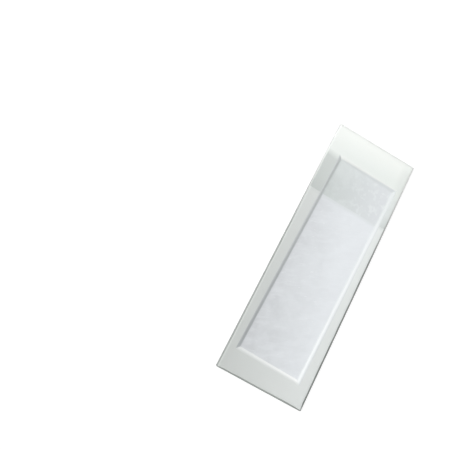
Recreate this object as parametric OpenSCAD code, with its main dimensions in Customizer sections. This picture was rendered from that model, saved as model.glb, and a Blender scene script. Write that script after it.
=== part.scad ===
// Microscope slide with a frosted end and a shallow rectangular well.
//
// The slide is one plate of soda-lime glass. Its edges are ground to a small
// bevel all round and its upright corners are cut. One end is frosted so that
// it can be written on, and a shallow well with sloping walls is ground into
// the top face to hold the specimen. The rim left around the well carries a
// cover glass.
//
// The slide lies flat. X runs along its length, with the frosted end at -X.
// Y runs across it, and Z = 0 is the face that it rests on. The origin is the
// centre of that face.

/* [Plate] */
// Length of the slide, end to end
slide_length = 76.2; // [60:0.1:90]
// Width of the slide, side to side
slide_width = 25.4; // [22:0.1:40]
// Thickness of the glass
glass_thickness = 1.1; // [0.8:0.05:2]
// Width of the ground bevel along the edges, measured flat
edge_bevel = 0.25; // [0.05:0.01:0.3]
// How far along each side an upright corner is cut off
corner_cut = 0.2; // [0.1:0.05:1.5]

/* [Frosted end] */
// Length of the frosted band, from the end of the slide
frosted_length = 21.2; // [12:0.1:30]
// Depth of glass that the frosting takes off
frosted_depth = 0.02; // [0.01:0.01:0.05]

/* [Well] */
// Depth of the well below the top face
well_depth = 0.5; // [0.1:0.05:0.6]
// How far each sloping wall runs inwards from the rim
wall_run = 0.8; // [0.3:0.1:2]
// Rim between the frosted end of the slide and the well
frosted_rim = 9; // [4:0.1:20]
// Rim between the plain end of the slide and the well
plain_rim = 6.2; // [4:0.1:20]
// Rim along each long side, before the well is shifted and turned
side_rim = 3.05; // [2.4:0.05:6]
// How far the well is shifted sideways, towards +Y
well_shift = 0.3; // [-0.6:0.1:0.6]
// Turn of the well about its own centre, in degrees, anticlockwise from above
well_turn = -1.5; // [-2:0.1:2]

/* [Hidden] */

// Cutters reach this far past the face that they cut
over = 1;

well_length = slide_length - frosted_rim - plain_rim;
well_width = slide_width - 2 * side_rim;
well_centre = [(frosted_rim - plain_rim) / 2, well_shift];

// Distance between two opposite corner cuts, square to them
across_corners = (slide_length + slide_width - 2 * corner_cut) / sqrt(2);
// A bar this long reaches past the plate in every direction
bar_length = slide_length + slide_width;

// The plate seen end on: a flat bar of the given width, with its four long
// edges bevelled.
module bevelled_section(width) {
    side = width / 2;
    flat = side - edge_bevel;
    shoulder = glass_thickness - edge_bevel;
    polygon([
        [-flat, 0], [flat, 0], [side, edge_bevel], [side, shoulder],
        [flat, glass_thickness], [-flat, glass_thickness],
        [-side, shoulder], [-side, edge_bevel]
    ]);
}

// A bevelled bar lying on Z = 0. At heading 0 it runs along X.
module bevelled_bar(width, heading) {
    rotate([90, 0, 90 + heading])
        linear_extrude(bar_length, center = true)
            bevelled_section(width);
}

// The plate is what four bars share: one gives the long sides, one the ends,
// and two slanted ones the cut corners, each with its bevels.
module plate() {
    intersection() {
        bevelled_bar(slide_width, 0);
        bevelled_bar(slide_length, 90);
        bevelled_bar(across_corners, 45);
        bevelled_bar(across_corners, -45);
    }
}

// The frosted band: a very shallow step across the whole width.
module frosting() {
    translate([-slide_length / 2 - over, -slide_width / 2 - over,
               glass_thickness - frosted_depth])
        cube([frosted_length + over, slide_width + 2 * over,
              frosted_depth + over]);
}

// The well seen end on: a flat floor between two sloping walls, carried on
// straight up above the rim.
module well_section(width) {
    mouth = width / 2;
    floor_edge = mouth - wall_run;
    floor_level = glass_thickness - well_depth;
    polygon([
        [-floor_edge, floor_level], [floor_edge, floor_level],
        [mouth, glass_thickness], [mouth, glass_thickness + over],
        [-mouth, glass_thickness + over], [-mouth, glass_thickness]
    ]);
}

// The space that the well takes out of the plate.
module well() {
    translate(well_centre)
        rotate(well_turn)
            intersection() {
                rotate([90, 0, 90])
                    linear_extrude(well_length, center = true)
                        well_section(well_width);
                rotate([90, 0, 0])
                    linear_extrude(well_width, center = true)
                        well_section(well_length);
            }
}

module glass_slide() {
    color([0.86, 0.89, 0.87])
        difference() {
            plate();
            frosting();
            well();
        }
}

glass_slide();
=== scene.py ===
# %% [markdown]
# # A glass microscope slide
# The slide is one plate of thin float glass. Its edges are ground, one end is frosted so that a
# pencil marks it, and a shallow well with sloping walls is ground into its top face. This
# script remakes the plate of the imported model as a finer mesh that lies on it, hides the
# imported plate and gives the new one the finishes of the real thing. The imported model is
# loaded first, because every place and size below comes from it.

# %% Load the imported model
import math

import bpy
import numpy as np
from mathutils import Matrix, Vector


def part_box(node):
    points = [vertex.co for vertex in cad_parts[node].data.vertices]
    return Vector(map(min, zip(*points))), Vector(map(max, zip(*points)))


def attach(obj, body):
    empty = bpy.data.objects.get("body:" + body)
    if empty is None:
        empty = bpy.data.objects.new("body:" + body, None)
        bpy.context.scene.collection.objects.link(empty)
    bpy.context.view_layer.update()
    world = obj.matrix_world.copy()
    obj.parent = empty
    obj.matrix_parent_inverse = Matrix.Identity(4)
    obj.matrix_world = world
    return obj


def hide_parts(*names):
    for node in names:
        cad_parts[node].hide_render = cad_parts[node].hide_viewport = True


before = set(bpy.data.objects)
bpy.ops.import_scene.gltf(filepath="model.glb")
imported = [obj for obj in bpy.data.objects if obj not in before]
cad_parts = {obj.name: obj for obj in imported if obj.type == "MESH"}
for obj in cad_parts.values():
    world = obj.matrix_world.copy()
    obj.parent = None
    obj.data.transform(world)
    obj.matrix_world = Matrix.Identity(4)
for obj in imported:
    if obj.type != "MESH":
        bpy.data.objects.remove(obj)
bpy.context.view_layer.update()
MM = 0.001
print("packed nodes:", sorted(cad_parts))

# %% [markdown]
# ## Sizes
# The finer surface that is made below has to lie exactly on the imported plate.
# Its sizes could be typed in again, but then they would drift apart when the
# plate is changed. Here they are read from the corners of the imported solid:
# each feature has corners at a height of its own.

# %% Measure the plate
low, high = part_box("glass_slide")
SAME = 0.002 * MM
corners = np.array([v.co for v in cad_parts["glass_slide"].data.vertices])
corners = np.unique(corners.round(7), axis=0)
heights = np.unique(corners[:, 2].round(6))


def at_height(z):
    """The corners at one height, as rows of x and y."""
    return corners[np.abs(corners[:, 2] - z) < SAME, :2]


thickness = high.z
bevel = high.y - at_height(thickness)[:, 1].max()
corner_cut = high.x - corners[np.abs(corners[:, 1] - high.y) < SAME, 0].max()
frost_depth = heights[-1] - heights[-2]
frost_line = at_height(heights[-2])[:, 0].max()
print(f"plate {high.x - low.x:.4f} x {high.y - low.y:.4f} x {thickness:.4f} m")
print(f"bevel {bevel / MM:.2f}, corner cut {corner_cut / MM:.2f} mm")
print(f"frost {frost_depth / MM:.3f} mm deep, up to x = {frost_line / MM:.2f} mm")

# %% Measure the well
NEAR_SIDE = 1 * MM
inner = (np.abs(corners[:, :2]) < np.array(high[:2]) - NEAR_SIDE).all(1)
deep = (corners[:, 2] > SAME) & (corners[:, 2] < heights[-2] - SAME)
floor_corners = np.unique(corners[inner & deep].round(6), axis=0)
mouth_corners = corners[inner & (np.abs(corners[:, 2] - thickness) < SAME), :2]

well_depth = thickness - floor_corners[:, 2].mean()
well_centre = floor_corners[:, :2].mean(0)
frosted_pair, plain_pair = floor_corners[:2, :2], floor_corners[2:, :2]
well_axis = plain_pair.mean(0) - frosted_pair.mean(0)
floor_half_length = np.hypot(*well_axis) / 2
floor_half_width = np.hypot(*(plain_pair[1] - plain_pair[0])) / 2
well_slope = well_axis[1] / well_axis[0]
to_mouth = np.hypot(*(mouth_corners - plain_pair[1]).T).min()
wall_run = to_mouth / math.sqrt(2)
print(f"well {well_depth / MM:.2f} mm deep, walls run {wall_run / MM:.2f} mm")
print(f"turned {math.degrees(math.atan(well_slope)):.2f} degrees")

# %% [markdown]
# ## The plate as a net of straight lines
# A plate like this could be cut with booleans, but their faces are long and
# irregular, so a fine relief can't be laid on them. A plain square grid has
# even faces, yet its lines would miss the slightly turned well. So the grid is
# made of two families of straight lines that turn gradually: the lines at the
# plate's sides are square to it, and those at the well follow the well.
# Each crease then lies on a line of the net, and each finish can have whole
# faces of its own.

# %% Lines of the net
CELL = 0.25 * MM
WALL_STEPS = 8
FROST_RAMP = 0.1 * MM
ROLL_REACH = 0.5 * MM
ROLL_STEPS = 4

top_half_length = high.x - bevel
top_half_width = high.y - bevel
# Moving a cut corner's three sides inwards by the bevel shortens the cut
top_cut = corner_cut - (2 - math.sqrt(2)) * bevel


def well_line(along, across):
    """A line of the well's own rectangle, moved out from its centre.

    Returns the constant and the slope of x = c + d*y for a line across the
    well, or of y = a + b*x for a line along it.
    """
    stretch = math.hypot(1, well_slope)
    x, y = well_centre
    if across is None:
        return (x + y * well_slope + along * stretch, -well_slope)
    return (y - x * well_slope + across * stretch, well_slope)


mouth_half_length = floor_half_length + wall_run
mouth_half_width = floor_half_width + wall_run
column_lines = np.array([
    (-top_half_length, 0),
    (-top_half_length + ROLL_REACH, 0),
    well_line(-mouth_half_length, None),
    well_line(-floor_half_length, None),
    (frost_line - FROST_RAMP / 2, 0),
    (frost_line + FROST_RAMP / 2, 0),
    well_line(floor_half_length, None),
    well_line(mouth_half_length, None),
    (top_half_length - ROLL_REACH, 0),
    (top_half_length, 0),
])
row_lines = np.array([
    (-top_half_width, 0),
    (top_cut - top_half_width, 0),
    (ROLL_REACH - top_half_width, 0),
    well_line(None, -mouth_half_width),
    well_line(None, -floor_half_width),
    well_line(None, floor_half_width),
    well_line(None, mouth_half_width),
    (top_half_width - ROLL_REACH, 0),
    (top_half_width - top_cut, 0),
    (top_half_width, 0),
])
(END_ROLL, END_RIM, END_WALL, FLOOR_FROSTED, FROST_STEP,
 FLOOR, PLAIN_WALL, PLAIN_RIM, PLAIN_ROLL) = range(9)
(SIDE_CUT, SIDE_ROLL, SIDE_RIM, SIDE_WALL, MIDDLE,
 FAR_WALL, FAR_RIM, FAR_ROLL, FAR_CUT) = range(9)
print(len(column_lines), "main lines across,", len(row_lines), "along")

# %% Fill in the lines between them


def spread(lines, fixed):
    """Straight lines spaced evenly between each main line and the next.

    fixed gives the number of steps for some bands. The others get steps of
    about one cell. Returns the lines, and the band of each strip between two.
    """
    gaps = np.diff(lines[:, 0])
    steps = [fixed.get(k, max(1, round(g / CELL))) for k, g in enumerate(gaps)]
    parts = [
        lines[k] + (lines[k + 1] - lines[k]) * np.arange(n)[:, None] / n
        for k, n in enumerate(steps)
    ]
    return np.vstack([*parts, lines[-1:]]), np.repeat(np.arange(len(steps)), steps)


columns, column_band = spread(column_lines, {
    END_ROLL: ROLL_STEPS, END_WALL: WALL_STEPS, FROST_STEP: 2,
    PLAIN_WALL: WALL_STEPS, PLAIN_ROLL: ROLL_STEPS,
})
rows, row_band = spread(row_lines, {
    SIDE_ROLL: ROLL_STEPS, SIDE_WALL: WALL_STEPS,
    FAR_WALL: WALL_STEPS, FAR_ROLL: ROLL_STEPS,
})
print(f"net of {len(columns)} x {len(rows)} lines")


def crossings(columns, rows):
    """The points where lines x = c + d*y meet lines y = a + b*x.

    Putting one line into the other gives x = (c + d*a) / (1 - d*b).
    """
    c, d = columns.T[:, :, None]
    a, b = rows.T[:, None, :]
    x = (c + d * a) / (1 - d * b)
    return x, a + b * x


net_x, net_y = crossings(columns, rows)

# %% [markdown]
# The four upright corners of a slide are cut, so that they don't chip. The net
# is drawn in there: each line that ends beside a corner ends at the cut.

# %% Draw the net in at the cut corners
DRAW_IN = 2 * MM
short_by = np.clip(np.abs(net_y) - (top_half_width - top_cut), 0, None)
share = np.clip((np.abs(net_x) - top_half_length + DRAW_IN) / DRAW_IN, 0, 1)
net_x = net_x - np.sign(net_x) * short_by * share
print(f"corners drawn in by {short_by.max() / MM:.2f} mm")

# %% [markdown]
# ## The relief of the top face
# Height is a function of the two places across the plate. The well's walls are
# straight slopes that turn softly into the rim and into the floor, as a
# grinding wheel leaves them. The frosted band is a step hardly deeper than a
# hair is thick. The ground floor also swells and sinks by a few thousandths of
# a millimetre, which shows as soft patches where it catches the light. Along
# the edge the face rolls off a little before the ground bevel starts, so it
# catches the light there as a fine line.

# %% Heights
SOFT_AT_RIM = 0.3
SOFT_AT_FOOT = 0.2
SWELL = 0.004 * MM
SWELL_LENGTH = 7 * MM
ROLL_DROP = 0.06 * MM
rng = np.random.default_rng(7)


def soft_ramp(q):
    """A height that rises from 0 to 1 as q does, and turns softly at both ends.

    Half of the difference between two hyperbolas, one about q = 0 and one
    about q = 1, plus a half.
    """
    near_0 = np.sqrt(q * q + SOFT_AT_RIM ** 2)
    near_1 = np.sqrt((q - 1) ** 2 + SOFT_AT_FOOT ** 2)
    return (near_0 - near_1 + 1) / 2


def waves(x, y, length, count):
    """A gentle random swell between about -1 and 1: a sum of plane waves.

    Each wave runs its own way, with a length near the one asked for.
    """
    ways = rng.uniform(0, 2 * np.pi, count)
    rates = 2 * np.pi / (length * rng.uniform(0.6, 1.6, count))
    phases = rng.uniform(0, 2 * np.pi, count)
    total = np.zeros_like(x)
    for way, rate, phase in zip(ways, rates, phases):
        total = total + np.sin(rate * (x * np.cos(way) + y * np.sin(way)) + phase)
    return total / math.sqrt(count)


def inside_rim(x, y):
    """How far a point lies inside the well's two ends, and inside its two long sides."""
    stretch = math.hypot(1, well_slope)
    dx, dy = x - well_centre[0], y - well_centre[1]
    along = np.abs(dx + dy * well_slope) / stretch
    across = np.abs(dy - dx * well_slope) / stretch
    return mouth_half_length - along, mouth_half_width - across


def into_well(x, y):
    """How far a point lies past the well's rim, in wall runs: 0 at the rim, 1 at the floor."""
    return np.minimum(*inside_rim(x, y)) / wall_run


def roll_off(x, y):
    """How far the face has dropped near the bevel: a parabola over the roll's reach.

    The first step of the reach stays flat, so that the rim beside it has no
    tilted edge, which would glint.
    """
    reach = ROLL_REACH * (1 - 1 / ROLL_STEPS)
    inside = np.minimum(top_half_length - np.abs(x), top_half_width - np.abs(y))
    return ROLL_DROP * np.clip(1 - inside / reach, 0, 1) ** 2


def top_height(x, y):
    """The height of the top face.

    It is the plate less the deeper of the frosting and the well, and less the
    roll-off.
    """
    frosting = frost_depth * np.clip((frost_line + FROST_RAMP / 2 - x) / FROST_RAMP, 0, 1)
    sunk = soft_ramp(into_well(x, y))
    swell = SWELL * waves(x, y, SWELL_LENGTH, 12) * sunk
    return thickness - np.maximum(frosting, well_depth * sunk - swell) - roll_off(x, y)


net_z = top_height(net_x, net_y)
print(f"top face from {net_z.min() / MM:.3f} to {net_z.max() / MM:.3f} mm")

# %% [markdown]
# ## The ground edge
# The edge is a profile carried round the outline: a bevel, an upright side and
# a bevel again. Blender's Bevel modifier could cut it, but a ground edge isn't
# that even. The wheel leaves long waves in it, and the bevel is wider in some
# places than in others. Here the profile's width varies along the way.

# %% Outline of the net
n_columns, n_rows = net_x.shape
index = np.arange(n_columns * n_rows).reshape(n_columns, n_rows)
loop = np.concatenate([
    index[:, 0],
    index[-1, 1:],
    index[-2::-1, -1],
    index[0, -2:0:-1],
])
outline = np.stack([net_x.ravel()[loop], net_y.ravel()[loop]], 1)
print(f"outline of {len(loop)} points")


def mitres(points):
    """The way out of a closed outline at each point, long enough for the corners.

    For a corner between sides with outward normals n and m, this is
    (n + m) / (1 + n.m): a step of that keeps both sides parallel.
    """
    side = np.roll(points, -1, 0) - points
    normal = np.stack([side[:, 1], -side[:, 0]], 1) / np.hypot(*side.T)[:, None]
    before = np.roll(normal, 1, 0)
    return (normal + before) / (1 + (normal * before).sum(1, keepdims=True))


outward = mitres(outline)
step = np.hypot(*(np.roll(outline, -1, 0) - outline).T)
way_round = np.cumsum(step) - step
perimeter = step.sum()

# %% Unevenness of the ground edge
BEVEL_STEPS = 4
SIDE_STEPS = 5
WIDTH_WAVE = 0.025 * MM
SIDE_WAVE = 0.012 * MM
HIGHEST_WAVE = 1.6


def round_trip(turns, count):
    """A random wave along the outline, from about -1 to 1.

    It is a sum of sines that each turn a whole number of times, so the wave
    meets itself after one trip.
    """
    counts = rng.integers(turns[0], turns[1], count)
    phases = rng.uniform(0, 2 * np.pi, count)
    angle = 2 * np.pi * way_round / perimeter
    return np.sin(counts[:, None] * angle + phases[:, None]).sum(0) / math.sqrt(count)


bevel_waves = WIDTH_WAVE * np.clip(round_trip((8, 50), 10), -HIGHEST_WAVE, HIGHEST_WAVE)
side_waves = SIDE_WAVE * np.clip(np.abs(round_trip((10, 60), 6)), 0, HIGHEST_WAVE)
print(f"bevel varies by {np.ptp(bevel_waves) / MM:.2f} mm")

# %% [markdown]
# The waves draw in the top face's outline. The lines of the net behind it give
# way by less and less, so no cell folds over, and the waves die out towards the
# corners, where the cut is shorter than they are deep. On the far side
# and at the plain end the bevel is ground a little wider than on the other two.

# %% Draw the top face in by the waves
CORNER_REACH = 2 * MM
GIVE_WAY = 1.2 * MM
WIDER_AT_FAR_SIDE = 0.2 * MM
WIDER_AT_PLAIN_END = 0.12 * MM
from_corner = np.maximum(
    top_half_length - np.abs(outline[:, 0]), top_half_width - np.abs(outline[:, 1])
)
wider = bevel_waves + HIGHEST_WAVE * WIDTH_WAVE
wider = wider + WIDER_AT_FAR_SIDE * (outline[:, 1] > top_half_width - SAME)
wider = wider + WIDER_AT_PLAIN_END * (outline[:, 0] > top_half_length - SAME)
drawn_in = np.zeros(net_x.size)
drawn_in[loop] = wider * np.clip(from_corner / CORNER_REACH, 0, 1)
drawn_in = drawn_in.reshape(net_x.shape)

at_end = np.clip(1 - (top_half_length - np.abs(net_x)) / GIVE_WAY, 0, 1)
at_side = np.clip(1 - (top_half_width - np.abs(net_y)) / GIVE_WAY, 0, 1)
top_x = net_x + at_end * np.where(net_x < 0, drawn_in[:1], -drawn_in[-1:])
top_y = net_y + at_side * np.where(net_y < 0, drawn_in[:, :1], -drawn_in[:, -1:])
print(f"top face drawn in by {drawn_in.max() / MM:.2f} mm at most")

# %% Rings of the edge


def ring(inset, z):
    """The outline at one height, drawn in by inset and by the wave of the side."""
    out = bevel - inset - side_waves
    xy = outline + outward * np.reshape(out, (-1, 1))
    return np.column_stack([xy, np.full(len(xy), z)])


rings = []
for k in range(1, BEVEL_STEPS + 1):
    f = k / BEVEL_STEPS
    rings.append(ring(bevel * (1 - f), thickness - bevel * f))
for k in range(1, SIDE_STEPS):
    f = k / SIDE_STEPS
    rings.append(ring(0, thickness - bevel - (thickness - 2 * bevel) * f))
for k in range(BEVEL_STEPS):
    f = k / BEVEL_STEPS
    rings.append(ring(bevel * f, bevel * (1 - f)))
print(f"edge of {len(rings)} rings")

# %% [markdown]
# ## One closed mesh
# The top net, the same net laid flat for the underside, and the rings between
# them share their outline points, so the plate is closed. Light that goes into
# it then comes out again where it should. Faces are counted the way round that
# makes them point outwards.

# %% Join the sheets
top_points = np.stack([top_x, top_y, net_z], -1).reshape(-1, 3)
under_points = np.stack([net_x, net_y, np.zeros_like(net_x)], -1).reshape(-1, 3)
points = np.vstack([top_points, *rings, under_points])


def sheet_faces(index):
    """The four corners of each cell of a grid of point numbers."""
    a, b, c, d = index[:-1, :-1], index[1:, :-1], index[1:, 1:], index[:-1, 1:]
    return np.stack([a, b, c, d], -1).reshape(-1, 4)


first_ring = len(top_points)
under_index = index + first_ring + len(rings) * len(loop)
ring_index = first_ring + np.arange(len(rings) * len(loop)).reshape(len(rings), -1)
all_rings = np.vstack([loop, ring_index, under_index.ravel()[loop]])
all_rings = np.column_stack([all_rings, all_rings[:, 0]])

top_faces = sheet_faces(index)
under_faces = sheet_faces(under_index)[:, ::-1]
edge_faces = sheet_faces(all_rings)
faces = np.vstack([top_faces, edge_faces, under_faces])
print(f"{len(points)} points, {len(faces)} faces")

# %% Give each finish its faces
SHOULDER = 0.2 * MM
(RIM, ROLLED_RIM, FROSTED_RIM, SATIN_FLOOR, FROSTED_FLOOR,
 WALLS, BEVEL, SIDE, UNDERSIDE) = range(9)


def finish_of_cells():
    """The finish of each cell of the top net.

    The bands that a cell lies in give it. The grinding of the walls reaches a
    little way over their rounded rim.
    """
    across = np.broadcast_to(column_band[:, None], (n_columns - 1, n_rows - 1))
    along = np.broadcast_to(row_band[None, :], (n_columns - 1, n_rows - 1))
    middle_x = (net_x[:-1, :-1] + net_x[1:, 1:]) / 2
    middle_y = (net_y[:-1, :-1] + net_y[1:, 1:]) / 2

    in_rolls = (across == END_ROLL) | (across == PLAIN_ROLL)
    in_rolls |= (along <= SIDE_ROLL) | (along >= FAR_ROLL)
    in_mouth = np.minimum(*inside_rim(middle_x, middle_y)) > -SHOULDER
    on_floor = (across > END_WALL) & (across < PLAIN_WALL) & (along == MIDDLE)

    frosted = across <= FLOOR_FROSTED
    rim = np.where(frosted, FROSTED_RIM, np.where(in_rolls, ROLLED_RIM, RIM))
    floor = np.where(frosted, FROSTED_FLOOR, SATIN_FLOOR)
    return np.where(on_floor, floor, np.where(in_mouth, WALLS, rim))


finish_of_strips = [BEVEL] * BEVEL_STEPS + [SIDE] * (SIDE_STEPS + BEVEL_STEPS)
face_finish = np.concatenate([
    finish_of_cells().ravel(),
    np.repeat(finish_of_strips, len(loop)),
    np.full(len(under_faces), UNDERSIDE),
])

# %% Make the mesh
CREASE = math.radians(28)
mesh = bpy.data.meshes.new("slide_plate")
mesh.from_pydata(points.tolist(), [], faces.tolist())
mesh.polygons.foreach_set("material_index", face_finish.astype(np.int32))
mesh.polygons.foreach_set("use_smooth", np.ones(len(faces), bool))
mesh.update()
mesh.set_sharp_from_angle(angle=CREASE)
plate = bpy.data.objects.new("slide_plate", mesh)
bpy.context.scene.collection.objects.link(plate)
print(f"slide_plate has {len(mesh.polygons)} faces")

# %% [markdown]
# ## Effects that several finishes share
# Glass shows little colour of its own: what is seen is how evenly its surface was worked. The
# same few effects make each finish: soft cloudy patches, fine grain, short wiping marks and a
# slow change from one side to the other, which also lays painted light and shade over the
# plate. Each is a node group that is built once and placed in each material with values of its
# own. They read Object coordinates, which are metres on the plate.

# %% Helpers for node groups


def new_group(name, inputs, outputs):
    """A shader node group with named sockets.

    inputs gives the kind and the usual value of each socket, and outputs gives
    the kind alone. Returns the group, and the sockets to build between.
    """
    group = bpy.data.node_groups.new(name, "ShaderNodeTree")
    for socket, (kind, value) in inputs.items():
        made = group.interface.new_socket(socket, in_out="INPUT", socket_type=kind)
        if value is not None:
            made.default_value = value
    for socket, kind in outputs.items():
        group.interface.new_socket(socket, in_out="OUTPUT", socket_type=kind)
    start = group.nodes.new("NodeGroupInput")
    end = group.nodes.new("NodeGroupOutput")
    return group, start.outputs, end.inputs


def put(tree, kind, links=(), **values):
    """A node of that kind, with its inputs linked or set and its properties set.

    links pairs an input's name or number with an output or a value.
    """
    node = tree.nodes.new(kind)
    for name, value in values.items():
        setattr(node, name, value)
    for name, source in dict(links).items():
        if isinstance(source, bpy.types.NodeSocket):
            tree.links.new(source, node.inputs[name])
        else:
            node.inputs[name].default_value = source
    return node


FLOAT, VECTOR = "NodeSocketFloat", "NodeSocketVector"

# %% [markdown]
# Cloudy patches are a noise that is cut at two levels. Below the first there is
# none, above the second there is all of it, and it turns softly in between.

# %% Cloudy patches
cloudy, ins, outs = new_group(
    "cloudy patches",
    {
        "Vector": (VECTOR, None),
        "Patch Size": (FLOAT, 4 * MM),
        "None Below": (FLOAT, 0.35),
        "All Above": (FLOAT, 0.65),
        "Detail": (FLOAT, 4.0),
    },
    {"Mask": FLOAT},
)
rate = put(cloudy, "ShaderNodeMath", {0: 1.0, 1: ins["Patch Size"]}, operation="DIVIDE")
noise = put(cloudy, "ShaderNodeTexNoise", {
    "Vector": ins["Vector"],
    "Scale": rate.outputs[0],
    "Detail": ins["Detail"],
})
levels = put(cloudy, "ShaderNodeMapRange", {
    "Value": noise.outputs["Fac"],
    "From Min": ins["None Below"],
    "From Max": ins["All Above"],
}, interpolation_type="SMOOTHSTEP")
cloudy.links.new(levels.outputs["Result"], outs["Mask"])
print("made", cloudy.name)

# %% [markdown]
# Grain is what grinding and etching leave: pits too small to count, which
# scatter the light. It comes out twice, as a value that varies roughness and
# colour and as a bumped normal.

# %% Fine grain
grain, ins, outs = new_group(
    "fine grain",
    {
        "Vector": (VECTOR, None),
        "Grain Size": (FLOAT, 0.2 * MM),
        "Depth": (FLOAT, 0.01 * MM),
        "Strength": (FLOAT, 0.5),
    },
    {"Value": FLOAT, "Normal": VECTOR},
)
rate = put(grain, "ShaderNodeMath", {0: 1.0, 1: ins["Grain Size"]}, operation="DIVIDE")
noise = put(grain, "ShaderNodeTexNoise", {
    "Vector": ins["Vector"],
    "Scale": rate.outputs[0],
    "Detail": 2.0,
})
bump = put(grain, "ShaderNodeBump", {
    "Strength": ins["Strength"],
    "Distance": ins["Depth"],
    "Height": noise.outputs["Fac"],
})
grain.links.new(noise.outputs["Fac"], outs["Value"])
grain.links.new(bump.outputs["Normal"], outs["Normal"])
print("made", grain.name)

# %% [markdown]
# Wiping marks are short and faint and lie roughly one way. A noise that is
# drawn out along one direction and cut near its highest level leaves just such
# strokes.

# %% Wiping marks
SOFT_BORDER = 0.12
wiping, ins, outs = new_group(
    "wiping marks",
    {
        "Vector": (VECTOR, None),
        "Angle": (FLOAT, 0.0),
        "Length": (FLOAT, 3 * MM),
        "Width": (FLOAT, 0.4 * MM),
        "Threshold": (FLOAT, 0.6),
    },
    {"Mask": FLOAT},
)
turned = put(wiping, "ShaderNodeVectorRotate", {
    "Vector": ins["Vector"],
    "Angle": ins["Angle"],
}, rotation_type="Z_AXIS", invert=True)
size = put(wiping, "ShaderNodeCombineXYZ", {
    "X": ins["Length"],
    "Y": ins["Width"],
    "Z": ins["Width"],
})
drawn_out = put(wiping, "ShaderNodeVectorMath", {
    0: turned.outputs["Vector"],
    1: size.outputs["Vector"],
}, operation="DIVIDE")
noise = put(wiping, "ShaderNodeTexNoise", {
    "Vector": drawn_out.outputs["Vector"],
    "Scale": 1.0,
    "Detail": 1.0,
})
highest = put(wiping, "ShaderNodeMath", {
    0: ins["Threshold"],
    1: SOFT_BORDER,
}, operation="ADD")
levels = put(wiping, "ShaderNodeMapRange", {
    "Value": noise.outputs["Fac"],
    "From Min": ins["Threshold"],
    "From Max": highest.outputs[0],
}, interpolation_type="SMOOTHSTEP")
wiping.links.new(levels.outputs["Result"], outs["Mask"])
print("made", wiping.name)

# %% [markdown]
# Frosting is thickest at the very end of a slide and thins out inwards, and painted light makes
# one side of the plate brighter than the other. Both are a slow change along one direction: the
# place along it, mapped evenly from 0 to 1.

# %% Slow change
slow, ins, outs = new_group(
    "slow change",
    {
        "Vector": (VECTOR, None),
        "Direction": (VECTOR, (1, 0, 0)),
        "From": (FLOAT, 0.0),
        "To": (FLOAT, 10 * MM),
    },
    {"Mask": FLOAT},
)
along = put(slow, "ShaderNodeVectorMath", {
    0: ins["Vector"],
    1: ins["Direction"],
}, operation="DOT_PRODUCT")
levels = put(slow, "ShaderNodeMapRange", {
    "Value": along.outputs["Value"],
    "From Min": ins["From"],
    "From Max": ins["To"],
})
slow.links.new(levels.outputs["Result"], outs["Mask"])
print("made", slow.name)

# %% [markdown]
# ## Finishes
# Each finish is one Principled BSDF. Its transmission is a plain number, so
# that it goes out with the model as glass: 1 where the glass is bare, and less
# where grinding or haze scatters light back before it gets through. Colour and
# grain come from the shared effects.

# %% Helpers for finishes
GLASS_IOR = 1.52


def tone(red, green, blue):
    """A colour given as screen values from 0 to 255, turned into linear values for a shader.

    This is the usual screen curve: a short straight part, then a power of 2.4.
    """
    s = np.array([red, green, blue]) / 255
    linear = np.where(s <= 0.04045, s / 12.92, ((s + 0.055) / 1.055) ** 2.4)
    return (*linear.tolist(), 1.0)


def new_finish(name, transmission, roughness):
    """A glass material with one Principled BSDF.

    Returns it with its tree, its shader and the place on the plate.
    """
    material = bpy.data.materials.new(name)
    material.use_nodes = True
    tree = material.node_tree
    shader = tree.nodes["Principled BSDF"]
    shader.inputs["Transmission Weight"].default_value = transmission
    shader.inputs["Roughness"].default_value = roughness
    shader.inputs["IOR"].default_value = GLASS_IOR
    place = put(tree, "ShaderNodeTexCoord").outputs["Object"]
    print(f"{name}: transmission {transmission}, roughness {roughness}")
    return material, tree, shader, place


def use(tree, group, **inputs):
    """A shared effect placed in a material. Underscores in an input's name stand for spaces."""
    node = put(tree, "ShaderNodeGroup", node_tree=group)
    for name, source in inputs.items():
        socket = node.inputs[name.replace("_", " ")]
        if isinstance(source, bpy.types.NodeSocket):
            tree.links.new(source, socket)
        else:
            socket.default_value = source
    return node.outputs


# %% Helpers that mix colours


def blend(tree, mask, a, b):
    """A colour that goes from a to b as mask goes from 0 to 1."""
    mix = put(tree, "ShaderNodeMix", data_type="RGBA")
    tree.links.new(mask, mix.inputs["Factor"])
    for socket, colour in zip([s for s in mix.inputs if s.type == "RGBA"], (a, b)):
        if isinstance(colour, bpy.types.NodeSocket):
            tree.links.new(colour, socket)
        else:
            socket.default_value = colour
    return next(s for s in mix.outputs if s.type == "RGBA")


def between(tree, mask, a, b):
    """A value that goes from a to b as mask goes from 0 to 1."""
    ramp = put(tree, "ShaderNodeMapRange", {"Value": mask, "To Min": a, "To Max": b})
    return ramp.outputs["Result"]


def lay(tree, under, over, mask, share):
    """The colour under, with over laid on it. Where mask is 1, over has that share."""
    return blend(tree, between(tree, mask, 0.0, share), under, over)


def roughen(tree, shader, place, grain_size, strength):
    """Puts the shared grain on a finish, as a bumped normal."""
    pits = use(tree, grain, Vector=place, Grain_Size=grain_size, Strength=strength)
    tree.links.new(pits["Normal"], shader.inputs["Normal"])


# %% [markdown]
# Nearly every finish changes slowly over the plate. Painted light makes it brighter towards one
# corner, the frosted band is white at its end, and a painted shadow of the band lies along its
# border.
# The three places are worked out here once, so that the finishes agree on them.

# %% Where painted light, white and painted shadow lie
ALONG = (1, 0, 0)
BACK_ALONG = (-1, 0, 0)
ACROSS = (0, 1, 0)
TO_BRIGHT_CORNER = (-0.2, 0.98, 0)
BRIGHT_CORNER = 23.5 * MM
WHITE_END = 9.4 * MM
SHADOW_REACH = 1.2 * MM
end_of_white = WHITE_END - high.x


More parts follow.
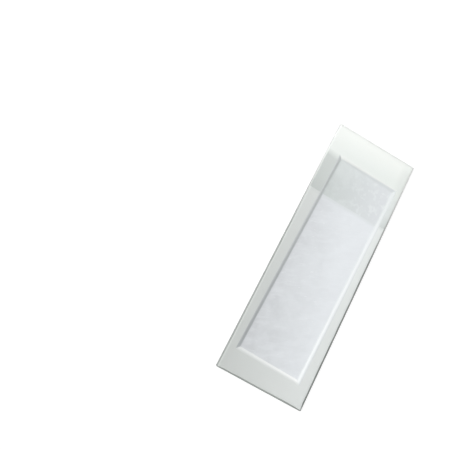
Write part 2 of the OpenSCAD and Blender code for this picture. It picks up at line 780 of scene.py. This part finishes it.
def painted_light_drift(tree, place, start=-BRIGHT_CORNER, stop=BRIGHT_CORNER, way=TO_BRIGHT_CORNER):
    """Painted light: a mask that goes from 0 to 1 on the way to the plate's brightest corner.
    """
    drift = use(tree, slow, Vector=place, Direction=way, From=start, To=stop)
    return drift["Mask"]


def toward_white_end(tree, place, before, after):
    """1 at the white end of the frosted band, and 0 from some way past it.

    before and after are counted from where the white ends: how far before it
    the change is complete, and how far after it the change sets in.
    """
    change = use(
        tree, slow, Vector=place, Direction=BACK_ALONG,
        From=-end_of_white - after, To=-end_of_white + before,
    )
    return change["Mask"]


def frost_band_shadow(tree, place, reach):
    """Painted shadow of the frosted band: 1 at the band's edge, and 0 from some way past it."""
    change = use(
        tree, slow, Vector=place, Direction=BACK_ALONG,
        From=-frost_line - reach, To=-frost_line,
    )
    return change["Mask"]


# %% [markdown]
# The rim around the well is float glass as it comes from the maker, under a thin haze from
# handling. Clear glass alone would show the white floor through it and vanish. So the haze
# makes its gloss dull and scatters about half of the light back. Its colour is painted light,
# darker on the near side and paler towards the far corner, and a painted shadow of the frosted
# band lies beside the band.

# %% Hazed rim
rim_glass, tree, shader, place = new_finish("hazed glass", 0.55, 0.35)
# Painted light: the rim is darker on the near side and paler towards the far corner.
painted_drift_colour = blend(tree, painted_light_drift(tree, place), tone(176, 180, 177), tone(238, 242, 241))
# Painted shadow: the frosted band's shadow darkens the rim beside the band.
shadow_mask = frost_band_shadow(tree, place, SHADOW_REACH)
colour = lay(tree, painted_drift_colour, tone(182, 188, 185), shadow_mask, 0.4)
tree.links.new(colour, shader.inputs["Base Color"])

# %% [markdown]
# Beside the ground edge the face rolls off and is scuffed by other slides, so
# it scatters more light than the rim and shows as a pale line. A mask could
# paint it on the rim. Here it has faces of its own, so the line follows the
# edge where that is uneven.

# %% Rolled rim
rolled_rim, tree, shader, place = new_finish("rolled rim", 0.15, 0.35)
# Painted light: the tone is darker on the near side and paler towards the far corner.
colour = blend(tree, painted_light_drift(tree, place), tone(197, 201, 198), tone(240, 244, 243))
tree.links.new(colour, shader.inputs["Base Color"])

# %% [markdown]
# The underside is untouched float glass, smooth and clear, and needs no effect.

# %% Underside
under_glass, _, shader, _ = new_finish("float underside", 1.0, 0.0)
shader.inputs["Base Color"].default_value = tone(250, 252, 251)

# %% [markdown]
# The frosted band is etched. At the very end it is so dense that it looks
# white, which is where a label is written, and further in it is thin and grey.
# Two flat colours with a sharp border would look printed. So the change takes two millimetres
# and runs slightly askew, and both colours drift; the grey's drift is painted light, darker on
# the near side. Along the far side the white is a little greyer.

# %% The white of the frosted rim
frosted_rim, tree, shader, place = new_finish("frosted glass", 0.3, 0.6)
STRIP_START = high.y - 3.6 * MM
STRIP_STOP = high.y - 2.0 * MM
whiteness = toward_white_end(tree, place, before=9.1 * MM, after=-2.4 * MM)
white = blend(tree, whiteness, tone(235, 240, 236), tone(249, 252, 248))
at_end = toward_white_end(tree, place, before=9.4 * MM, after=-5.9 * MM)
strip_tone = blend(tree, at_end, tone(220, 225, 221), tone(238, 243, 239))
strip = use(tree, slow, Vector=place, Direction=ACROSS, From=STRIP_START, To=STRIP_STOP)
white = lay(tree, white, strip_tone, strip["Mask"], 0.45)
print(f"worn strip {(high.y - STRIP_START) / MM:.1f} mm wide along the far side")

# %% [markdown]
# The grey part takes a little of the white where the two meet. Towards the
# clear glass the etching thins out, and lets more of the darker glass show.

# %% The grey of the frosted rim
# The border of the white runs askew, and crosses end_of_white at this y
ASKEW = 0.1
CROSSES_AT = -11 * MM
# Painted light: the grey is darker on the near side and paler towards the far corner.
drift = painted_light_drift(tree, place, start=-8 * MM, stop=16 * MM)
grey = blend(tree, drift, tone(188, 194, 191), tone(224, 229, 228))
denser = toward_white_end(tree, place, before=0, after=12 * MM)
grey = lay(tree, grey, white, denser, 0.15)
thinner = use(
    tree, slow, Vector=place, Direction=ALONG, From=frost_line - 4 * MM, To=frost_line,
)
grey = lay(tree, grey, tone(176, 182, 180), thinner["Mask"], 0.35)
border = ASKEW * CROSSES_AT - end_of_white
past_border = use(
    tree, slow, Vector=place, Direction=(-1, ASKEW, 0),
    From=border - 1.0 * MM, To=border + 1.2 * MM,
)
colour = blend(tree, past_border["Mask"], grey, white)
tree.links.new(colour, shader.inputs["Base Color"])
roughen(tree, shader, place, 0.3 * MM, 0.4)

# %% [markdown]
# The floor of the well is ground and then polished halfway, which leaves satin
# glass. Wiping leaves short faint marks that run one way, and dried drops leave
# soft patches. An image texture could show them, but it would have to be drawn
# again for a well of another size. So each of them is one of the shared
# effects, and adds only a little.

# %% Satin floor: painted light and patches
satin_floor, tree, shader, place = new_finish("satin glass", 0.45, 0.58)
# Painted light: the floor is darker on the near side and paler towards the far side.
drift = painted_light_drift(tree, place, start=-13.3 * MM, stop=5.5 * MM, way=(-0.16, 1, 0))
base = blend(tree, drift, tone(188, 191, 194), tone(225, 229, 233))
patches = use(
    tree, cloudy, Vector=place, Patch_Size=5 * MM, None_Below=0.3, All_Above=0.7,
)
cloud = lay(tree, base, tone(236, 240, 244), patches["Mask"], 0.2)
small = use(
    tree, cloudy, Vector=place, Patch_Size=1.6 * MM, None_Below=0.35, All_Above=0.65,
)
cloud = lay(tree, cloud, tone(240, 244, 248), small["Mask"], 0.1)
print("patches on", satin_floor.name)

# %% [markdown]
# The marks lie over the patches. Long ones are faint and run all over the
# floor, and a few short ones are bright, where a fibre has dried on. All of
# them run the way that the cloth went.

# %% Satin floor: marks and painted shadow
WIPED_ALONG = math.radians(115)
marks = use(
    tree, wiping, Vector=place, Angle=WIPED_ALONG, Length=4 * MM, Width=1.1 * MM,
    Threshold=0.5,
)
streaked = lay(tree, cloud, tone(244, 248, 252), marks["Mask"], 0.1)
specks = use(
    tree, wiping, Vector=place, Angle=WIPED_ALONG, Length=1.6 * MM, Width=0.4 * MM,
    Threshold=0.7,
)
streaked = lay(tree, streaked, tone(250, 252, 254), specks["Mask"], 0.4)
# Painted shadow: the frosted band's shadow darkens the well floor beside the band.
shadow_mask = frost_band_shadow(tree, place, SHADOW_REACH)
colour = lay(tree, streaked, tone(198, 204, 203), shadow_mask, 0.45)
tree.links.new(colour, shader.inputs["Base Color"])
roughen(tree, shader, place, 0.4 * MM, 0.2)

# %% [markdown]
# Where the well reaches into the frosted band, its floor is etched as well. The acid bites
# unevenly and leaves pale flecks. The floor's corner there is paler. Painted light makes the
# floor paler towards the far side, and the flecks paler still on that side.

# %% Frosted floor of the well
frosted_floor, tree, shader, place = new_finish("frosted well glass", 0.35, 0.62)
# Painted light: the floor is darker on the near side and paler towards the far corner.
drift = painted_light_drift(tree, place, start=-5 * MM, stop=12.5 * MM)
base = blend(tree, drift, tone(191, 198, 196), tone(218, 222, 225))
corner = use(
    tree, slow, Vector=place, Direction=(-1, -0.6, 0), From=24.5 * MM, To=31 * MM,
)
base = lay(tree, base, tone(232, 238, 237), corner["Mask"], 0.3)
patches = use(
    tree, cloudy, Vector=place, Patch_Size=2.6 * MM, None_Below=0.45, All_Above=0.62,
    Detail=2.0,
)
cloud = lay(tree, base, tone(234, 240, 240), patches["Mask"], 0.12)
flecks = use(
    tree, cloudy, Vector=place, Patch_Size=1.3 * MM, None_Below=0.52, All_Above=0.7,
    Detail=1.0,
)
# Painted light: the flecks are painted paler on the far side.
far_side = use(tree, slow, Vector=place, Direction=ACROSS, From=-6 * MM, To=8 * MM)
pale = lay(tree, cloud, tone(240, 245, 245), far_side["Mask"], 0.35)
colour = blend(tree, flecks["Mask"], cloud, pale)
tree.links.new(colour, shader.inputs["Base Color"])
roughen(tree, shader, place, 0.3 * MM, 0.4)

# %% [markdown]
# The four walls are ground alike, but painted light and shade lie on them unevenly. Each wall
# could have a material of its own, but then the border between two walls would follow the cells
# of the net in steps. So they share one, and a mask tells the end walls from the long ones.
# They meet in mitres, where a point lies as far from the rim's end as from its side.

# %% Masks of the walls
TO_MITRE = mouth_half_length - mouth_half_width
SHARP = 0.03 * MM
NEAR_EDGE = 0.25 * MM
well_walls, tree, shader, place = new_finish("ground walls", 0.15, 0.45)
turned = put(tree, "ShaderNodeVectorRotate", {
    "Vector": place,
    "Center": (*well_centre, 0),
    "Angle": math.atan(well_slope),
}, rotation_type="Z_AXIS", invert=True)
from_centre = put(tree, "ShaderNodeVectorMath", {
    0: turned.outputs["Vector"],
    1: (*well_centre, 0),
}, operation="SUBTRACT")
folded = put(tree, "ShaderNodeVectorMath", {
    0: from_centre.outputs["Vector"],
}, operation="ABSOLUTE")
on_end_wall = use(
    tree, slow, Vector=folded.outputs["Vector"], Direction=(1, -1, 0),
    From=TO_MITRE - SHARP, To=TO_MITRE + SHARP,
)
toward_plain_end = use(
    tree, slow, Vector=place, Direction=ALONG, From=-10 * MM, To=10 * MM,
)
near_rim = use(
    tree, slow, Vector=place, Direction=(0, 0, 1),
    From=thickness - NEAR_EDGE, To=thickness,
)
near_foot = use(
    tree, slow, Vector=place, Direction=(0, 0, -1),
    From=well_depth - thickness - NEAR_EDGE, To=well_depth - thickness,
)
in_frost = toward_white_end(tree, place, before=-10 * MM, after=14 * MM)
print(f"mitres point at places {TO_MITRE / MM:.1f} mm from the middle of the well")

# %% [markdown]
# The wall at the frosted end takes its tone from the etching, with painted light that pales it
# towards the far side. The one at the plain end is paler at its foot than at its rim, and
# painted light pales it towards the far side too. The long walls are painted darkest on the
# near side, a painted shade, and the etching greys them.

# %% Colours of the walls
# Painted light: every wall tone below is darker on the near side and paler towards the far
# corner.
drift = painted_light_drift(tree, place, start=-8 * MM, stop=8 * MM)
foot = blend(tree, drift, tone(205, 211, 210), tone(226, 231, 232))
white = toward_white_end(tree, place, before=0.3 * MM, after=0.1 * MM)
frosted_end = blend(tree, white, foot, tone(244, 247, 244))
drift = painted_light_drift(tree, place, start=-15 * MM, stop=3 * MM)
foot = blend(tree, drift, tone(222, 225, 224), tone(251, 253, 252))
plain_wall_upper = blend(tree, painted_light_drift(tree, place), tone(196, 200, 198), tone(236, 240, 239))
plain_end = blend(tree, near_rim["Mask"], foot, plain_wall_upper)
ends = blend(tree, toward_plain_end["Mask"], frosted_end, plain_end)

# Painted shade: the long walls are darkest on the near side, deepening the shade that the near
# wall lies in.
drift = painted_light_drift(tree, place, start=-15 * MM, stop=-1 * MM)
painted_drift_colour = blend(tree, drift, tone(186, 190, 192), tone(215, 219, 220))
foot = lay(tree, tone(187, 192, 192), tone(232, 238, 238), near_foot["Mask"], 0.7)
frosted = blend(tree, drift, foot, tone(211, 216, 216))
sides = blend(tree, in_frost, painted_drift_colour, frosted)

colour = blend(tree, on_end_wall["Mask"], sides, ends)
tree.links.new(colour, shader.inputs["Base Color"])
roughen(tree, shader, place, 0.25 * MM, 0.3)

# %% [markdown]
# The upper bevel is ground and scatters light. The upright side is smoother,
# so it lets the eye into the plate, along a path that is long enough for the
# glass's own dark green to show. That is why a slide has dark edges. At the
# frosted end the etching makes both of them pale.

# %% Upper bevel
ground_bevel, tree, shader, place = new_finish("ground bevel", 0.2, 0.5)
white = toward_white_end(tree, place, before=2.4 * MM, after=23.6 * MM)
# Painted shade: the far bevel, which faces away from the key lamp, is painted darker.
far_side = use(tree, slow, Vector=place, Direction=ACROSS, From=9 * MM, To=12 * MM)
grey = blend(tree, far_side["Mask"], tone(150, 156, 152), tone(124, 130, 126))
# Painted light: the pale bevel at the frosted end is painted darker towards the far side.
drift = painted_light_drift(tree, place, start=low.y, stop=high.y, way=ACROSS)
pale = blend(tree, drift, tone(246, 249, 246), tone(230, 233, 230))
colour = blend(tree, white, grey, pale)
tree.links.new(colour, shader.inputs["Base Color"])
roughen(tree, shader, place, 0.15 * MM, 0.2)

# %% Upright side
dark_side, tree, shader, place = new_finish("dark side", 0.2, 0.3)
white = toward_white_end(tree, place, before=3 * MM, after=14 * MM)
colour = blend(tree, white, tone(92, 99, 95), tone(196, 200, 197))
tree.links.new(colour, shader.inputs["Base Color"])
roughen(tree, shader, place, 0.15 * MM, 0.2)

# %% Put the finishes on
for material in (
    rim_glass, rolled_rim, frosted_rim, satin_floor, frosted_floor,
    well_walls, ground_bevel, dark_side, under_glass,
):
    mesh.materials.append(material)
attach(plate, "root")
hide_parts("glass_slide")
print("finishes:", [m.name for m in mesh.materials])

# %% [markdown]
# ## Floor, world and lamps
# The slide lies on a plain white floor. A floor that is lit to pure white would
# need so much light that the slide would burn out too. So part of the floor's
# white is its own glow, which only the camera, reflections and glass see, and
# the rest is lit and takes the shadow. Far from the slide the lamps no longer
# reach the floor, and there the glow alone is white, as where a studio's floor
# sweeps up into its white backdrop.

# %% Paint of the floor
FLOOR_GLOW = 0.88
FLOOR_TONE = 0.2
GLOW_GROWS_FROM = 0.2
GLOW_IS_WHITE_AT = 0.7


def what_is_seen(tree):
    """1 for rays from the camera, from reflections and through glass, and 0 for other light."""
    path = put(tree, "ShaderNodeLightPath").outputs
    either = put(tree, "ShaderNodeMath", {
        0: path["Is Camera Ray"],
        1: path["Is Glossy Ray"],
    }, operation="MAXIMUM")
    return put(tree, "ShaderNodeMath", {
        0: either.outputs[0],
        1: path["Is Transmission Ray"],
    }, operation="MAXIMUM").outputs[0]


floor_paint = bpy.data.materials.new("white floor")
floor_paint.use_nodes = True
tree = floor_paint.node_tree
tree.nodes.remove(tree.nodes["Principled BSDF"])
lit = put(tree, "ShaderNodeBsdfDiffuse", {"Color": (FLOOR_TONE, FLOOR_TONE, FLOOR_TONE, 1)})
place = put(tree, "ShaderNodeTexCoord").outputs["Object"]
out_from_slide = put(tree, "ShaderNodeVectorMath", {0: place}, operation="LENGTH")
own_white = put(tree, "ShaderNodeMapRange", {
    "Value": out_from_slide.outputs["Value"], "From Min": GLOW_GROWS_FROM,
    "From Max": GLOW_IS_WHITE_AT, "To Min": FLOOR_GLOW, "To Max": 1.0,
})
seen_white = put(tree, "ShaderNodeMath", {
    0: own_white.outputs["Result"], 1: what_is_seen(tree),
}, operation="MULTIPLY")
glow = put(tree, "ShaderNodeEmission", {"Strength": seen_white.outputs[0]})
both = put(tree, "ShaderNodeAddShader", {0: lit.outputs[0], 1: glow.outputs[0]})
tree.links.new(both.outputs[0], tree.nodes["Material Output"].inputs["Surface"])

# %% Sheet of the floor
FLOOR_SIZE = 6.0
FLOOR_GAP = 0.02 * MM
reach = FLOOR_SIZE / 2
floor_mesh = bpy.data.meshes.new("floor")
floor_mesh.from_pydata(
    [(-reach, -reach, -FLOOR_GAP), (reach, -reach, -FLOOR_GAP),
     (reach, reach, -FLOOR_GAP), (-reach, reach, -FLOOR_GAP)],
    [], [(0, 1, 2, 3)],
)
floor_mesh.materials.append(floor_paint)
floor = bpy.data.objects.new("floor", floor_mesh)
bpy.context.scene.collection.objects.link(floor)
print(f"floor {FLOOR_SIZE:.0f} m across, {FLOOR_GAP / MM:.2f} mm below the slide")

# %% [markdown]
# The world is a white studio. As light it is dim, so that the lamps can shape
# the slide. In reflections and through the glass it is white.

# %% World
WORLD_LIGHT = 0.15
world = bpy.data.worlds.new("white studio")
world.use_nodes = True
bpy.context.scene.world = world
tree = world.node_tree
background = tree.nodes["Background"]
background.inputs["Color"].default_value = (1, 1, 1, 1)
tree.links.new(
    between(tree, what_is_seen(tree), WORLD_LIGHT, 1.0), background.inputs["Strength"]
)
print("the world lights at", WORLD_LIGHT, "of the white that it shows")

# %% [markdown]
# Two soft boxes light the slide. The key lamp stands on the near side, so the
# near wall of the well lies in shade and the far wall is bright. The end lamp
# is close to the frosted end and lights it more than the plain end, which a
# sun lamp couldn't do. Both show in reflections, as real lamps do.

# %% Lamps


def way_to(azimuth, elevation):
    """The way from the slide to a place around it, with a length of 1.

    azimuth is counted round the slide from the -Y side, so +X is at 90.
    elevation is counted up from the floor.
    """
    a, e = math.radians(azimuth), math.radians(elevation)
    return Vector((math.sin(a) * math.cos(e), -math.cos(a) * math.cos(e), math.sin(e)))


def soft_lamp(name, azimuth, elevation, distance, wide, tall, level):
    """Adds a soft box that looks at the slide and lights a flat white surface to level.

    Straight above the surface, a lamp of some power would light it to
    power / (pi * distance)^2. From the side that is less, by the sine of the
    lamp's elevation.
    """
    way = way_to(azimuth, elevation)
    data = bpy.data.lights.new(name, "AREA")
    data.shape = "RECTANGLE"
    data.size = wide
    data.size_y = tall
    data.energy = level * (math.pi * distance) ** 2 / math.sin(math.radians(elevation))
    lamp = bpy.data.objects.new(name, data)
    lamp.location = way * distance
    lamp.rotation_mode = "QUATERNION"
    lamp.rotation_quaternion = way.to_track_quat("Z", "Y")
    bpy.context.scene.collection.objects.link(lamp)
    print(f"{name}: {data.energy:.2f} W at {distance:.2f} m")


soft_lamp("key lamp", azimuth=0, elevation=47, distance=0.9, wide=0.4, tall=0.42, level=0.67)
soft_lamp("end lamp", azimuth=-90, elevation=42, distance=0.32, wide=0.3, tall=0.2, level=0.23)

# %% [markdown]
# ## Camera
# The camera stands over the plain end, to one side, and looks down steeply. It
# looks at a point on the floor beside the slide, so the slide lies to the right
# of the middle, and it is turned so that the slide leans to the right.

# %% Camera
LENS = 40
SENSOR_WIDTH = 36
NEAREST = 0.01
FARTHEST = 20
CAMERA_AZIMUTH = 39.3
CAMERA_ELEVATION = 68.2
CAMERA_DISTANCE = 141 * MM
AIM = Vector((4.7 * MM, -28.0 * MM, 0))
UPRIGHT_TURN = 28.5

stand = CAMERA_DISTANCE * way_to(CAMERA_AZIMUTH, CAMERA_ELEVATION)
camera_data = bpy.data.cameras.new("camera")
camera_data.lens = LENS
camera_data.sensor_width = SENSOR_WIDTH
camera_data.clip_start = NEAREST
camera_data.clip_end = FARTHEST
camera = bpy.data.objects.new("camera", camera_data)
bpy.context.scene.collection.objects.link(camera)
turn = math.radians(UPRIGHT_TURN)
picture_up = Vector((-math.cos(turn), -math.sin(turn), 0))
back = (stand - AIM).normalized()
right = picture_up.cross(back).normalized()
camera.matrix_world = Matrix.Translation(stand) @ Matrix(
    (right, back.cross(right), back)
).transposed().to_4x4()
bpy.context.scene.camera = camera
bpy.context.scene.view_settings.view_transform = "Standard"
print(f"camera {CAMERA_DISTANCE / MM:.0f} mm from the middle of the slide")
